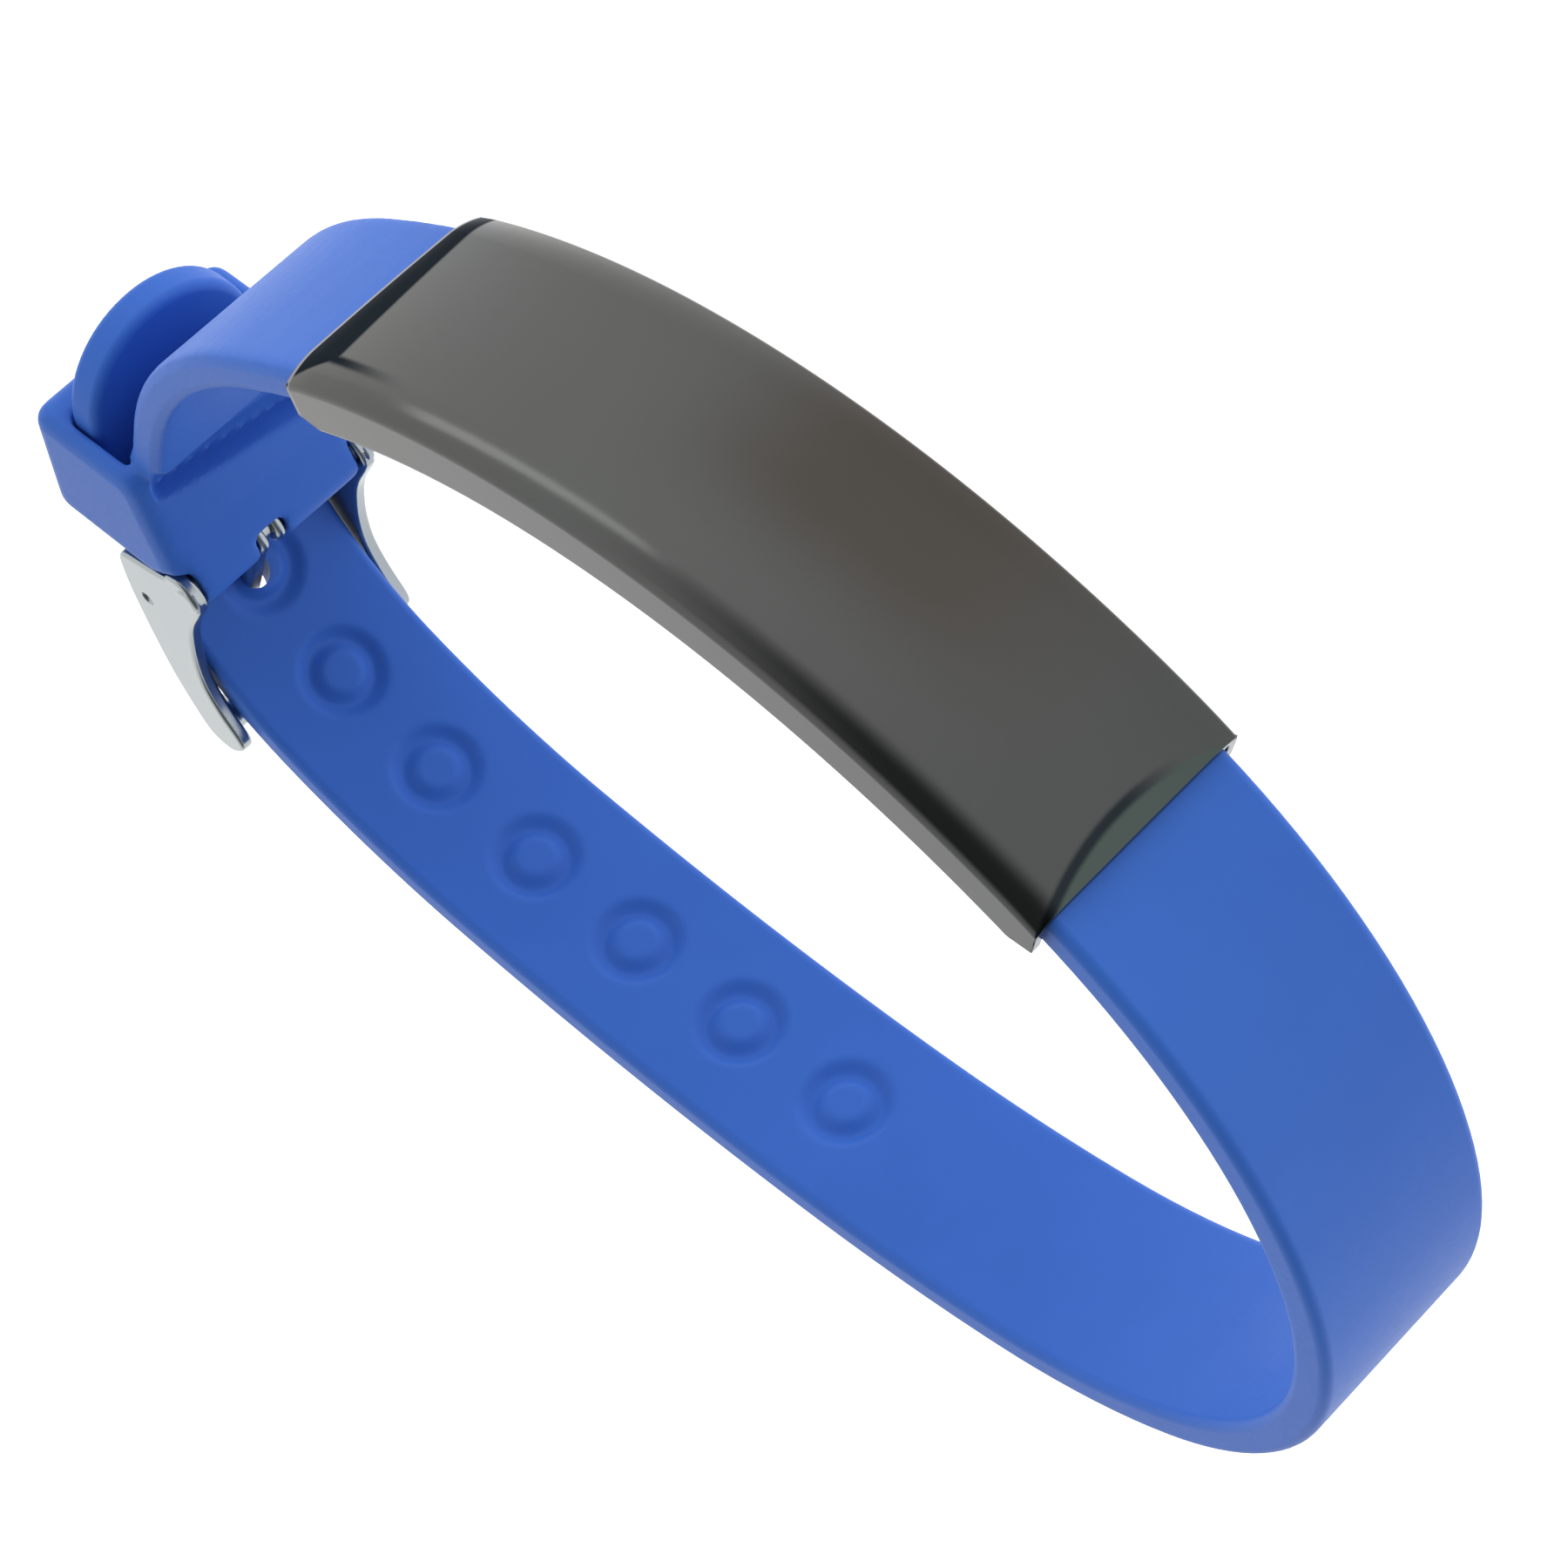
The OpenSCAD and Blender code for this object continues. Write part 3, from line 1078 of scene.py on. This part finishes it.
    def keeper(self) -> Work:
        """Build the short side of the strap with the keeper block, its slot and the lug.

        Returns:
            The short side, in one smooth skin.
        """
        strand = self.swept("silicone_keeper", (LAYOUT.plate_bend, *LAYOUT.short_side), self.flat_cuts)
        place = LAYOUT.plate_end.after(*LAYOUT.short_side)
        heading = Vector((*polar(1, place.heading), 0))
        end = Vector((place.x, place.y, 0))
        with strand.editing():
            strand.pick(Element.EDGE, lambda middle: abs(middle.x) < SAME_PLACE)
            bpy.ops.mesh.edge_face_add()
            strand.extrude((-self.joint_reach, 0, 0))
            strand.pick(Element.EDGE, lambda middle: abs((middle - end).dot(heading)) < SAME_PLACE)
            bpy.ops.mesh.edge_face_add()
        strand.mirror(0)
        strand.weld()
        strand.combine(Operation.UNION, self.block(), self.lug())
        strand.combine(Operation.DIFFERENCE, *self.keeper_cutters())
        strand.modify("REMESH", mode="VOXEL", voxel_size=self.voxel, use_smooth_shade=True)
        strand.modify("SMOOTH", factor=self.smoothing, iterations=self.smooth_rounds)
        self.press_crease(strand)
        strand.move_points(self.tucked)
        return strand

    def tucked(self, spot: Vector) -> Vector:
        """Draw a point of the keeper's strap a hair inside the long side's end where they join.

        Args:
            spot: The point.

        Returns:
            Its new place.
        """
        if abs(spot.y) > LAYOUT.strap_t:
            return spot
        slim = self.joint_slim * smooth_step(*self.joint_run, spot.x)
        middle_y = -spot.x**2 / (2 * LAYOUT.plate_bend.radius)
        height = (spot.y - middle_y) * (1 - slim)
        return Vector((spot.x, middle_y + height, spot.z * (1 - self.joint_narrow * slim)))

    def press_crease(self, keeper: Work) -> None:
        """Press the soft valley where the strap's wrist side runs into the block's pad.

        Args:
            keeper: The short side with the block.
        """
        foot = Vector((LAYOUT.wrist_foot_x, LAYOUT.block_foot, 0))
        up = (Vector((LAYOUT.wrist_foot_x - LAYOUT.wrist_lean, LAYOUT.block_top, 0)) - foot).normalized()
        out = Vector((up.y, -up.x, 0))
        inner_edge, edge = (LAYOUT.half_w + off for off in self.crease_fade)
        below, beyond = self.crease_reach

        def pressed(spot: Vector) -> Vector:
            """Push a point of the pad or strap in near the crease.

            Args:
                spot: The point.

            Returns:
                Its new place.
            """
            away = spot - foot
            above = away.dot(up) - self.crease_up - self.crease_slant * spot.z
            if abs(away.dot(out)) > self.crease_skin or abs(spot.z) > edge or above > self.crease_end:
                return spot
            reach = beyond if above > 0 else below
            fade = 1 - smooth_step(inner_edge, edge, abs(spot.z))
            return spot - out * self.crease_depth * fade * math.exp(-(above / reach) ** 2)

        keeper.move_points(pressed)

    def block(self) -> Work:
        """Build the keeper block with its leaning walls and rounded edges.

        Returns:
            The block.
        """
        outer_x = LAYOUT.long_end.x - LAYOUT.slot_half_t
        wrist_x, foot, top = LAYOUT.wrist_foot_x, LAYOUT.block_foot, LAYOUT.block_top
        corners = [
            (outer_x - LAYOUT.wall_foot, foot), (wrist_x, foot),
            (wrist_x - LAYOUT.wrist_lean, top), (outer_x - LAYOUT.wall_top, top),
        ]
        work = outline_solid("block", corners, -LAYOUT.block_w / 2, LAYOUT.block_w / 2)
        work.modify("BEVEL", width=self.block_edge_r, segments=self.block_edge_steps, limit_method="NONE")
        return work

    def lug(self) -> Work:
        """Build the lug round the spring bar, which runs up into the block.

        Returns:
            The lug.
        """
        around = arc(LAYOUT.bar, self.lug_r, *self.lug_arc)
        corners = around + shifted(self.lug_top, LAYOUT.bar)
        return outline_solid("lug", corners, -LAYOUT.half_w, LAYOUT.half_w)

    def keeper_cutters(self) -> list[Work]:
        """Build what is cut from the keeper: slot, tongue notch, room for the knuckles, and the bore.

        Returns:
            The cutters.
        """
        foot, top, bar = LAYOUT.block_foot, LAYOUT.block_top, LAYOUT.bar
        wall_x, half_w, half_block = LAYOUT.slot_wall_x, LAYOUT.half_w, LAYOUT.block_w / 2
        mouth_x = wall_x + self.mouth_reach
        outer_x = LAYOUT.long_end.x - LAYOUT.half_t - self.wall_gap
        slot = [
            (outer_x, foot - PAST), (wall_x, foot - PAST), (wall_x, top - self.mouth_depth[1]),
            (mouth_x, top - self.mouth_depth[0]), (mouth_x, top + PAST), (outer_x, top + PAST),
        ]
        side = Vector(polar(self.barrel_room_r, LAYOUT.tongue_heading + 90))
        near, far = Vector(bar), Vector(polar(self.notch_reach, LAYOUT.tongue_heading, bar))
        notch = [tuple(corner) for corner in (near - side, far - side, far + side, near + side)]
        low, high = self.notch_middle - self.notch_half_w, self.notch_middle + self.notch_half_w
        return [
            outline_solid("slot", slot, -half_w - self.wall_gap, half_w + self.wall_gap),
            rod("notch_room", bar, self.barrel_room_r, low, high),
            outline_solid("notch", notch, low, high),
            rod("upper_room", bar, self.knuckle_room_r, half_w, half_block + PAST),
            rod("lower_room", bar, self.knuckle_room_r, -half_block - PAST, -half_w),
            rod("bore", bar, LAYOUT.bore_r, -half_w - PAST, half_w + PAST),
        ]


@dataclass
class IdPlate:
    """The bare curved plate: a sleeve of sheet with a softly rounded top round the strap."""

    finish: DarkSteel
    width: float = 13.6
    left_reach: float = 24.8
    right_reach: float = 24.2
    crown: float = 0.05
    shoulder_r: float = 4.6
    shoulder_start: float = 4.0
    shoulder_end: float = 27.0
    edge_r: float = 0.55
    sharp_edge_r: float = 0.05
    sharp_edge_steps: int = 2
    sharp_angle: float = 50.0
    back_corner_r: float = 0.4
    inner_corner_r: float = 0.3
    shoulder_fall: float = 0.12
    shoulder_in: float = 1.6
    lip_w: float = 1.6
    end_lean: float = 14.0
    end_drop: float = 0.12
    end_roll: float = 1.3
    corner_roll: float = 0.9
    corner_cut: Point = (2.0, 1.2)
    half_sweep: float = 30.5
    steps: int = 244
    arc_steps: int = 8
    flange_steps: int = 4
    back_steps: int = 6
    inner_steps: int = 4
    smooth_weight: int = 80

    def outline(self) -> list[Point]:
        """Draw half of the sheet's section: its outer face from the top to a lip, then its inner face.

        Returns:
            The points: each one's height over the strap's middle line and its place across the strap.
        """
        top, half, sheet, steps = LAYOUT.plate_top, self.width / 2, LAYOUT.plate_t, self.arc_steps
        back, height = -top, top - self.crown
        start, end = Vector(polar(1, self.shoulder_start)), Vector(polar(1, self.shoulder_end))
        edge_end = half - self.edge_r * (1 - end.y)
        flat_end = edge_end - self.shoulder_r * (end.y - start.y)
        parts = [step / steps for step in range(steps)]
        crown = [(top - self.crown * part**2, flat_end * part) for part in parts]
        shoulder_middle = (height - self.shoulder_r * start.x, flat_end - self.shoulder_r * start.y)
        shoulder = arc(shoulder_middle, self.shoulder_r, self.shoulder_start, self.shoulder_end, steps)
        edge_middle = (shoulder[-1][0] - self.edge_r * end.x, edge_end - self.edge_r * end.y)
        edge = arc(edge_middle, self.edge_r, self.shoulder_end, 90, steps)[1:]
        foot, back_start = edge[-1][0], back + self.back_corner_r
        parts = [step / self.flange_steps for step in range(1, self.flange_steps)]
        flange = [(foot + (back_start - foot) * part, half) for part in parts]
        back_middle = (back_start, half - self.back_corner_r)
        back_corner = arc(back_middle, self.back_corner_r, 90, 180, self.back_steps)
        lip_edge, inner_edge = half - self.lip_w - sheet, half - sheet
        lip = [(back, lip_edge), (back + sheet, lip_edge), (back + sheet, inner_edge)]
        inner_height = top - sheet - self.inner_corner_r - self.shoulder_fall
        inner_middle = (inner_height, inner_edge - self.inner_corner_r)
        inner_corner = arc(inner_middle, self.inner_corner_r, 90, 0, self.inner_steps)
        inner_top = [(top - sheet, inner_edge - self.shoulder_in)]
        return crown + shoulder + edge + flange + back_corner + lip + inner_corner + inner_top

    def build(self) -> None:
        """Build the plate and set it down."""
        work = self.sleeve()
        self.trim_ends(work)
        self.roll_ends(work)
        work.round_edges(self.sharp_edge_r, self.sharp_edge_steps, self.sharp_angle, clamp=False)
        work.smooth()
        work.even_normals(self.smooth_weight)
        work.set_down(Slot.DARK_STEEL, self.finish.material(self), "id_plate")

    def sleeve(self) -> Work:
        """Build the open-backed sleeve: the sheet's section spun round the middle of the plate's bend.

        Returns:
            The sleeve, longer than the plate at both ends.
        """
        half = self.outline()
        outline = [(height, -across) for height, across in reversed(half[1:])] + half
        radius = LAYOUT.plate_bend.radius
        circle = bpy.ops.mesh.primitive_circle_add
        work = Work("steel_plate", circle, vertices=len(outline), radius=1, fill_type="NOTHING")
        for vert, (height, across) in zip(work.thing.data.vertices, outline, strict=True):
            vert.co = (*polar(radius + height, 90 + self.half_sweep, (0, -radius)), across)
        with work.editing():
            work.spin(self.steps, 2 * self.half_sweep, (0, -radius))
            work.face_outwards()
        return work

    def end_top(self, side: int) -> Vector:
        """Return the top of an end in the middle of the plate, as if on the right.

        Args:
            side: 1 for the right end, -1 for the left end.

        Returns:
            The place.
        """
        radius = LAYOUT.plate_bend.radius + LAYOUT.plate_top
        reach = self.right_reach if side > 0 else self.left_reach
        return Vector((reach, math.sqrt(radius**2 - reach**2) - LAYOUT.plate_bend.radius, 0))

    @property
    def end_face(self) -> Vector:
        """Return the direction that the right end faces."""
        lean = math.radians(self.end_lean)
        return Vector((math.cos(lean), -math.sin(lean), 0))

    def trim_ends(self, work: Work) -> None:
        """Cut both ends along their leaning planes and take the corners of the flanges off.

        Args:
            work: The sleeve.
        """
        lean = math.radians(self.end_lean)
        tall = 2 * LAYOUT.plate_top
        for side in (1, -1):
            top = self.end_top(side)
            angle = math.asin(top.x / (LAYOUT.plate_bend.radius + LAYOUT.plate_top))
            foot = top + Vector((-math.sin(lean), -math.cos(lean), 0)) * tall / math.cos(lean)
            along = Vector((math.cos(angle), -math.sin(angle), 0))
            up = Vector((math.sin(angle), math.cos(angle), 0))
            start = foot - along * self.corner_cut[0]
            slope = (along * self.corner_cut[0] + up * self.corner_cut[1]).normalized()
            for spot, normal in ((top, self.end_face), (start, Vector((slope.y, -slope.x, 0)))):
                with work.editing():
                    bpy.ops.mesh.bisect(
                        plane_co=(side * spot.x, spot.y, 0), plane_no=(side * normal.x, normal.y, 0),
                        use_fill=True, clear_outer=True,
                    )

    def roll_ends(self, work: Work) -> None:
        """Let the top fall towards both ends, as a rolled edge.

        Args:
            work: The trimmed sleeve.
        """
        radius = LAYOUT.plate_bend.radius

        def rolled(spot: Vector) -> Vector:
            """Move a point of the top towards the wrist near an end.

            Args:
                spot: The point.

            Returns:
                Its new place.
            """
            top = self.end_top(1 if spot.x > 0 else -1)
            near = (top - Vector((abs(spot.x), spot.y, 0))).dot(self.end_face)
            out = math.hypot(spot.x, spot.y + radius)
            height = out - radius
            roll = self.end_roll + self.corner_roll * (2 * abs(spot.z) / self.width) ** 4
            if near > roll or height < 0:
                return spot
            fall = self.end_drop * (1 - max(near, 0.0) / roll) ** 2
            scale = (out - fall * height / LAYOUT.plate_top) / out
            return Vector((spot.x * scale, (spot.y + radius) * scale - radius, spot.z))

        work.move_points(rolled)


@dataclass
class BuckleFrame:
    """The buckle's two arms and the cross bar between their feet."""

    finish: PolishedSteel
    knuckle_r: float = 1.6
    knuckle_arc: Sweep = (150.0, -30.0, 6)
    toe_arc: Sweep = (0.0, -160.0, 4)
    edge_r: float = 0.25
    edge_steps: int = 3
    foot_extra: float = 0.75
    foot_shift: float = 0.4
    boss: Point = (0.7, 0.25)
    boss_r: float = 0.95
    boss_rise: float = 0.1
    boss_sink: float = 0.2
    boss_edge_r: float = 0.35
    boss_edge_steps: int = 4
    bar_seat: float = 0.55
    cross_sink: float = 0.1
    dimple: Triple = (-3.9, -3.6, 0.15)
    dimple_r: float = 0.5
    dimple_segments: int = 24
    dimple_rings: int = 16
    shape: tuple[Point, ...] = (
        (0.1, -3.2), (-0.6, -5.3), (-1.1, -8.0), (-1.1, -10.5), (-0.4, -12.6),
    )
    outer_shape: tuple[Point, ...] = (
        (-4.1, -12.4), (-4.75, -9.8), (-5.25, -6.8), (-5.6, -3.8), (-5.6, -1.2), (-5.3, -0.35),
        (-4.6, 0.0),
    )

    def build(self) -> None:
        """Build both arms and the cross bar as one piece and set it down."""
        buckle, lower = self.arm(), self.arm()
        lower.mirror(2)
        reach = LAYOUT.arm_in + self.cross_sink
        cross = rod("cross_bar", LAYOUT.cross_bar, LAYOUT.cross_d / 2, -reach, reach)
        buckle.combine(Operation.UNION, lower, cross)
        buckle.smooth()
        buckle.even_normals()
        buckle.set_down(Slot.POLISHED_STEEL, self.finish.material(), "buckle_frame")

    def arm(self) -> Work:
        """Build the upper arm with its rounded edges, the bar's hole and the dimple.

        Returns:
            The arm.
        """
        bar, arm_in, arm_out = LAYOUT.bar, LAYOUT.arm_in, LAYOUT.arm_out
        knuckle = arc(bar, self.knuckle_r, *self.knuckle_arc)
        foot = shifted([LAYOUT.cross_bar], (self.foot_shift, 0))[0]
        toe = arc(foot, LAYOUT.cross_d / 2 + self.foot_extra, *self.toe_arc)
        corners = knuckle + shifted(self.shape, bar) + toe + shifted(self.outer_shape, bar)
        work = outline_solid("buckle_arms", eased(corners), arm_in, arm_out)
        work.round_edges(self.edge_r, self.edge_steps)
        boss_middle = shifted([self.boss], bar)[0]
        boss = rod("boss", boss_middle, self.boss_r, arm_in + self.boss_sink, arm_out + self.boss_rise)
        boss.round_edges(self.boss_edge_r, self.boss_edge_steps)
        work.combine(Operation.UNION, boss)
        hole = rod("bar_hole", bar, LAYOUT.bore_r, arm_in - PAST, arm_in + self.bar_seat)
        dimple = Work(
            "dimple_cutter", bpy.ops.mesh.primitive_uv_sphere_add, radius=self.dimple_r,
            segments=self.dimple_segments, ring_count=self.dimple_rings,
            location=Vector((*bar, arm_out)) + Vector(self.dimple),
        )
        work.combine(Operation.DIFFERENCE, hole, dimple)
        return work


@dataclass
class BuckleTongue:
    """The tongue: a barrel on the spring bar, a straight shank and a tip bent over the cross bar."""

    finish: PolishedSteel
    width: float = 1.3
    thickness: float = 1.1
    middle: float = 0.75
    bead: Point = (0.3, 0.98)
    bead_edge_r: float = 0.33
    bead_edge_steps: int = 6
    bead_sides: int = 64
    barrel_r: float = 1.32
    straight: float = 11.7
    turn_r: float = 3.0
    turn: float = 49.0
    turn_steps: int = 14
    tip: float = 2.9
    tip_ends: tuple[tuple[float, Triple], ...] = ((0.22, (0.9, 0.9, 0.86)), (0.08, (0.72, 0.72, 0.72)))
    edge_r: float = 0.35
    edge_steps: int = 4

    def build(self) -> None:
        """Build the tongue and set it down."""
        work = self.shank()
        near, far = self.bead
        for low, high in ((-far, -near), (near, far)):
            bead = rod("tongue_barrel", LAYOUT.bar, self.barrel_r, low, high, self.bead_sides)
            bead.round_edges(self.bead_edge_r, self.bead_edge_steps)
            work.combine(Operation.UNION, bead)
        bore = rod("tongue_bore", LAYOUT.bar, LAYOUT.bore_r, -self.width, self.width)
        work.combine(Operation.DIFFERENCE, bore)
        work.move_points(lambda spot: spot + Vector((0, 0, self.middle)))
        work.smooth()
        work.set_down(Slot.POLISHED_STEEL, self.finish.material(), "buckle_tongue")

    def shank(self) -> Work:
        """Build the bar of the tongue from the spring bar to its tip.

        Returns:
            The shank.
        """
        work = section("steel_tongue", (self.thickness, self.width), self.edge_r, self.edge_steps)
        along = Vector((*polar(1, self.turn), 0))
        with work.editing():
            work.extrude((self.straight, 0, 0))
            work.spin(self.turn_steps, -self.turn, (self.straight, self.turn_r))
            work.extrude(along * self.tip)
            for length, scale in self.tip_ends:
                work.extrude(along * length)
                bpy.ops.transform.resize(value=scale)
            work.face_outwards()
        work.to_tongue()
        return work


@dataclass
class SpringBar:
    """The pin that holds the buckle, with its ends domed in the arms."""

    finish: PolishedSteel
    seat: float = 0.5
    end_r: float = 0.25
    end_steps: int = 4

    def build(self) -> None:
        """Build the pin and set it down."""
        reach = LAYOUT.arm_in + self.seat
        work = rod("bar_pin", LAYOUT.bar, LAYOUT.bar_d / 2, -reach, reach)
        work.round_edges(self.end_r, self.end_steps)
        work.smooth()
        work.set_down(Slot.POLISHED_STEEL, self.finish.material(), "spring_bar")


@dataclass
class Studio:
    """A pale floor, soft light and the photograph's camera."""

    floor_half: float = 3.0
    floor_colour: Triple = (0.35, 0.35, 0.35)
    floor_glow: float = 1.15
    dim_side: Triple = (0.95, 0.35, -0.25)
    dim_side_run: Point = (-0.45, 0.35)
    dim_height_run: Point = (-0.05, 0.3)
    pale_sky: Triple = (1.25, 1.25, 1.25)
    dim_sky: Triple = (0.17, 0.18, 0.18)
    lamp_place: Triple = (-0.52, 0.51, 0.06)
    lamp_size: Point = (0.5, 0.1)
    lamp_power: float = 0.25
    camera_place: Triple = (0.10015, 0.18633, 0.07984)
    lens: float = 98.84
    sensor_w: float = 36.0
    nearest: float = 0.01
    right: Triple = (0.7247, -0.1003, -0.6817)
    up: Triple = (-0.5376, 0.5366, -0.6504)
    back: Triple = (0.4311, 0.8379, 0.3349)

    def build(self) -> None:
        """Set the stage."""
        self.floor()
        self.sky()
        self.lamp()
        self.camera()

    def floor(self) -> None:
        """Add the pale floor, lit a little from within so that shadows stay faint."""
        bpy.ops.object.select_all(action="DESELECT")
        bpy.ops.mesh.primitive_plane_add(size=2 * self.floor_half)
        floor = bpy.context.active_object
        floor.name = "floor"
        recipe = Recipe.of_material("pale_floor")
        floor.data.materials.append(recipe.shade(recipe.principled({
            "Base Color": (*self.floor_colour, 1), "Roughness": 1.0, "Specular IOR Level": 0.0,
            "Emission Color": (1, 1, 1, 1), "Emission Strength": self.floor_glow,
        })))

    def sky(self) -> None:
        """Light the scene with a soft sky that is pale, but dim above the floor on one side."""
        world = bpy.data.worlds.new("studio_sky")
        recipe = Recipe(world)
        side = recipe.step(recipe.along(self.dim_side), *self.dim_side_run)
        height = recipe.step(recipe.along((0, 0, 1)), *self.dim_height_run)
        colour = recipe.blend(side * height, self.pale_sky, self.dim_sky)
        recipe.close("ShaderNodeOutputWorld", recipe.node("ShaderNodeBackground", {}, {"Color": colour}))
        bpy.context.scene.world = world

    def lamp(self) -> None:
        """Add a soft light that faces the band."""
        light = bpy.data.lights.new("key_light", "AREA")
        light.shape = "RECTANGLE"
        light.size, light.size_y = self.lamp_size
        light.energy = self.lamp_power
        lamp = bpy.data.objects.new("key_light", light)
        lamp.location = self.lamp_place
        lamp.rotation_euler = Vector(self.lamp_place).to_track_quat("Z", "Y").to_euler()
        bpy.context.scene.collection.objects.link(lamp)

    def camera(self) -> None:
        """Add the camera at the photograph's place."""
        data = bpy.data.cameras.new("photo_camera")
        data.lens = self.lens
        data.sensor_width = self.sensor_w
        data.clip_start = self.nearest
        camera = bpy.data.objects.new("photo_camera", data)
        columns = Matrix((self.right, self.up, self.back)).transposed()
        camera.matrix_world = Matrix.Translation(self.camera_place) @ columns.to_4x4()
        bpy.context.scene.collection.objects.link(camera)
        bpy.context.scene.camera = camera


def main() -> None:
    """Build the wristband's pieces in order and set the stage."""
    logging.basicConfig(level=logging.INFO, format="%(message)s")
    steel = PolishedSteel()
    for piece in (
        SiliconeBand(SatinSilicone()), IdPlate(DarkSteel()), BuckleFrame(steel), BuckleTongue(steel),
        SpringBar(steel),
    ):
        piece.build()
        log.info("%s is done", type(piece).__name__)
    Studio().build()
    bpy.context.scene.view_settings.view_transform = "Standard"


if __name__ == "__main__":
    main()
